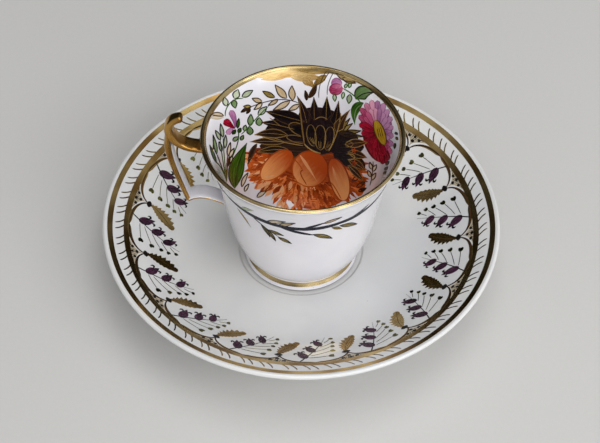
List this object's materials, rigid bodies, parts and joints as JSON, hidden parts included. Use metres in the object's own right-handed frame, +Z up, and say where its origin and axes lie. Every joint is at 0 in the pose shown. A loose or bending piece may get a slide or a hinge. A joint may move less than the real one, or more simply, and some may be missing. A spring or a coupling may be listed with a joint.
{
  "type": "teacup and saucer",
  "caption": "Tall flared porcelain teacup with a gilt strap handle and thumb horn, standing loose on a deep round saucer with gilt bands and a painted border.",
  "frame": {"origin": "middle of the saucer's foot ring, on the surface that it stands on", "axes": "+Z up along the saucer's and the cup's common axis, and the handle points along -X"},
  "size_m": [0.14, 0.14, 0.0733],
  "materials": {
    "porcelain": "clear gloss glaze on white porcelain",
    "gilding": "burnished gilding, fired on",
    "enamel": "painted overglaze enamel, fired on"
  },
  "bodies": {
    "saucer": {"saucer": "porcelain", "saucer_rim_gilding": "gilding", "saucer_vine_gilding": "gilding"},
    "cup": {"cup_body": "porcelain", "cup_rim_gilding": "gilding", "cup_foot_gilding": "gilding", "cup_handle": "porcelain", "handle_gilding": "gilding"}
  },
  "joints": [
    {"name": "cup_lift", "type": "slide", "parent": "saucer", "child": "cup", "axis": [0, 0, 1], "range_m": [0, 0.1]}
  ]
}
